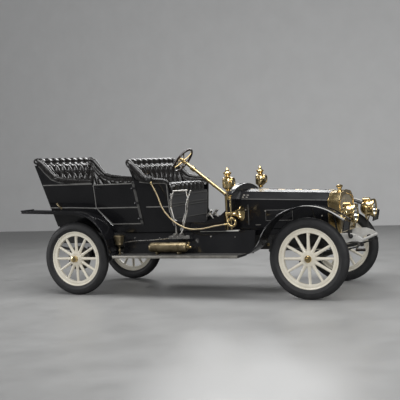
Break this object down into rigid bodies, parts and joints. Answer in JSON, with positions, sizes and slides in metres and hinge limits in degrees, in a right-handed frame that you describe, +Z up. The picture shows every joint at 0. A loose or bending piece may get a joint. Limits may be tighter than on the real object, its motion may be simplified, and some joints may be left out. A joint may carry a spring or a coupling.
{
  "type": "open touring car",
  "caption": "Open touring car from the brass era: right-hand drive, tufted leather seats, wooden spoked wheels, brass lamps and radiator, hinged doors and bonnet.",
  "frame": {"origin": "on the ground under the middle of the car's length and width", "axes": "+X forward, +Y to the car's left, +Z up"},
  "size_m": [4.3032, 1.704, 1.766],
  "materials": {
    "black_paint": "gloss coach paint",
    "chassis_paint": "semi-gloss",
    "polished_brass": "polished",
    "black_leather": "tufted",
    "iron": "plain",
    "cream_wood": "painted",
    "tyre_rubber": "dark rubber",
    "black_rubber": "matt",
    "core_metal": "blackened",
    "floor_wood": "varnished",
    "board_cover": "dark cover",
    "dark_wood": "varnished"
  },
  "bodies": {
    "chassis": {"body_back": "black_paint", "body_floor": "floor_wood", "body_front_sides": "black_paint", "body_quarters": "black_paint", "cross_members": "chassis_paint", "dashboard": "black_paint", "engine_block": "iron", "fenders_front": "black_paint", "fenders_rear": "black_paint", "frame_rails": "chassis_paint", "front_axle": "chassis_paint", "front_seat_back": "black_paint", "front_seat_box": "black_paint", "front_seat_cushion": "black_leather", "front_seat_upholstery": "black_leather", "gas_cylinder": "polished_brass", "gas_generator": "polished_brass", "gearbox_and_shaft": "iron", "headlamps": "polished_brass", "hood_ledges": "black_paint", "hood_rod": "polished_brass", "horn": "polished_brass", "horn_bulb": "black_rubber", "horn_tube": "black_rubber", "levers_and_pedals": "polished_brass", "radiator_core": "core_metal", "radiator_shell": "polished_brass", "rear_axle": "chassis_paint", "rear_seat_box": "black_paint", "rear_seat_cushion": "black_leather", "rear_seat_upholstery": "black_leather", "running_boards": "board_cover", "side_lamps": "polished_brass", "splash_aprons": "black_paint", "springs": "chassis_paint", "starting_crank": "iron", "steering_column": "chassis_paint"},
    "knuckle_right": {"knuckle_right": "chassis_paint"},
    "knuckle_left": {"knuckle_left": "chassis_paint"},
    "tie_rod": {"tie_rod": "chassis_paint"},
    "pitman_arm": {"pitman_arm": "chassis_paint"},
    "drag_link": {"drag_link": "chassis_paint"},
    "steering_wheel": {"steering_wheel": "dark_wood"},
    "door_right": {"door_right": "black_paint"},
    "door_left": {"door_left": "black_paint"},
    "hood_right": {"hood_right": "black_paint"},
    "hood_left": {"hood_left": "black_paint"},
    "wheel_front_right": {"wheel_front_right": "cream_wood", "tyre_front_right": "tyre_rubber"},
    "wheel_front_left": {"wheel_front_left": "cream_wood", "tyre_front_left": "tyre_rubber"},
    "wheel_rear_right": {"wheel_rear_right": "cream_wood", "tyre_rear_right": "tyre_rubber"},
    "wheel_rear_left": {"wheel_rear_left": "cream_wood", "tyre_rear_left": "tyre_rubber"}
  },
  "joints": [
    {"name": "steer_right", "type": "hinge", "parent": "chassis", "child": "knuckle_right", "pos_m": [1.6185, -0.55, 0.457], "axis": [0, 0, 1], "range_deg": [-28, 28]},
    {"name": "steer_left", "type": "hinge", "parent": "chassis", "child": "knuckle_left", "pos_m": [1.6185, 0.55, 0.457], "axis": [0, 0, 1], "range_deg": [-28, 28]},
    {"name": "tie_rod_pivot", "type": "hinge", "parent": "knuckle_right", "child": "tie_rod", "pos_m": [1.4685, -0.55, 0.38], "axis": [0, 0, 1], "range_deg": [-28, 28]},
    {"name": "pitman_swing", "type": "hinge", "parent": "chassis", "child": "pitman_arm", "pos_m": [1.0585, -0.39, 0.646], "axis": [0, 1, 0], "range_deg": [-32, 32]},
    {"name": "drag_link_pivot", "type": "hinge", "parent": "pitman_arm", "child": "drag_link", "pos_m": [1.0585, -0.409, 0.516], "axis": [0, 1, 0], "range_deg": [-32, 32]},
    {"name": "steering_wheel_turn", "type": "hinge", "parent": "chassis", "child": "steering_wheel", "pos_m": [-0.0865, -0.27, 1.624], "axis": [-0.7826, 0, 0.6225], "range_deg": [-290, 290]},
    {"name": "roll_front_right", "type": "hinge", "parent": "knuckle_right", "child": "wheel_front_right", "pos_m": [1.6185, -0.711, 0.457], "axis": [0, 1, 0], "continuous": true},
    {"name": "roll_front_left", "type": "hinge", "parent": "knuckle_left", "child": "wheel_front_left", "pos_m": [1.6185, 0.711, 0.457], "axis": [0, 1, 0], "continuous": true},
    {"name": "roll_rear_right", "type": "hinge", "parent": "chassis", "child": "wheel_rear_right", "pos_m": [-1.4295, -0.711, 0.457], "axis": [0, 1, 0], "continuous": true},
    {"name": "roll_rear_left", "type": "hinge", "parent": "chassis", "child": "wheel_rear_left", "pos_m": [-1.4295, 0.711, 0.457], "axis": [0, 1, 0], "continuous": true},
    {"name": "door_right_hinge", "type": "hinge", "parent": "chassis", "child": "door_right", "pos_m": [-0.5265, -0.54915, 0.861], "axis": [-0.1264, -0.1318, 0.9832], "range_deg": [0, 80]},
    {"name": "door_left_hinge", "type": "hinge", "parent": "chassis", "child": "door_left", "pos_m": [-0.5265, 0.54915, 0.861], "axis": [0.1264, -0.1318, -0.9832], "range_deg": [0, 80]},
    {"name": "hood_right_hinge", "type": "hinge", "parent": "chassis", "child": "hood_right", "pos_m": [0.6985, 0, 1.22988], "axis": [-0.9988, 0, 0.0479], "range_deg": [0, 70]},
    {"name": "hood_left_hinge", "type": "hinge", "parent": "chassis", "child": "hood_left", "pos_m": [0.6985, 0, 1.22988], "axis": [0.9988, 0, -0.0479], "range_deg": [0, 70]}
  ],
  "couplings": [
    {"joint": "steer_left", "follows": "steer_right", "ratio": 1},
    {"joint": "tie_rod_pivot", "follows": "steer_right", "ratio": -1},
    {"joint": "pitman_swing", "follows": "steer_right", "ratio": 1.12},
    {"joint": "drag_link_pivot", "follows": "steer_right", "ratio": -1.12},
    {"joint": "steering_wheel_turn", "follows": "steer_right", "ratio": 10}
  ]
}
